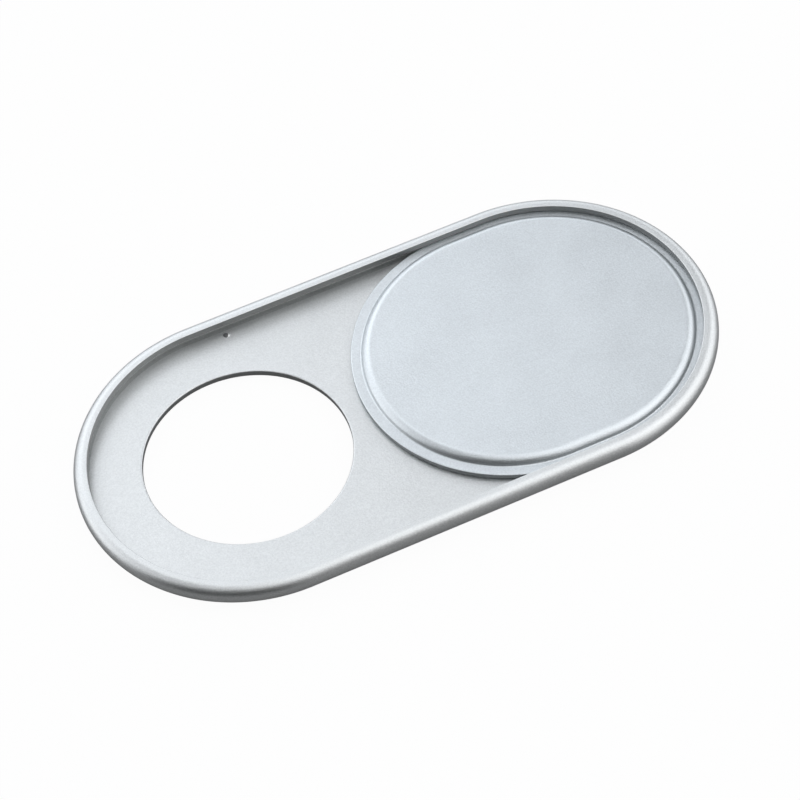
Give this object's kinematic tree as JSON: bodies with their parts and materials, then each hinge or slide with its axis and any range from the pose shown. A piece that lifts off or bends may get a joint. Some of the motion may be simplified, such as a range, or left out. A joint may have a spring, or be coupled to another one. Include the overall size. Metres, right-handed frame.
{
  "type": "webcam cover slider",
  "caption": "Thin oblong webcam cover: a rolled-rim metal track with a round lens window, and a raised shutter that slides under the track's turned-in lips to close it.",
  "frame": {"origin": "centre of the outline, on the sticky face of the adhesive pad", "axes": "+X along the track from the window towards the parked shutter, +Y across it, +Z out of the face"},
  "size_m": [0.018, 0.0092, 0.0007],
  "materials": {
    "frame_metal": "fine bead-blasted, clear anodised",
    "shutter_metal": "fine bead-blasted, clear anodised",
    "tape": "soft acrylic tape, matte"
  },
  "bodies": {
    "frame": {"track_frame": "frame_metal", "adhesive_pad": "tape"},
    "shutter": {"shutter": "shutter_metal"}
  },
  "joints": [
    {"name": "shutter_slide", "type": "slide", "parent": "frame", "child": "shutter", "axis": [-1, 0, 0], "range_m": [0, 0.00768]}
  ]
}
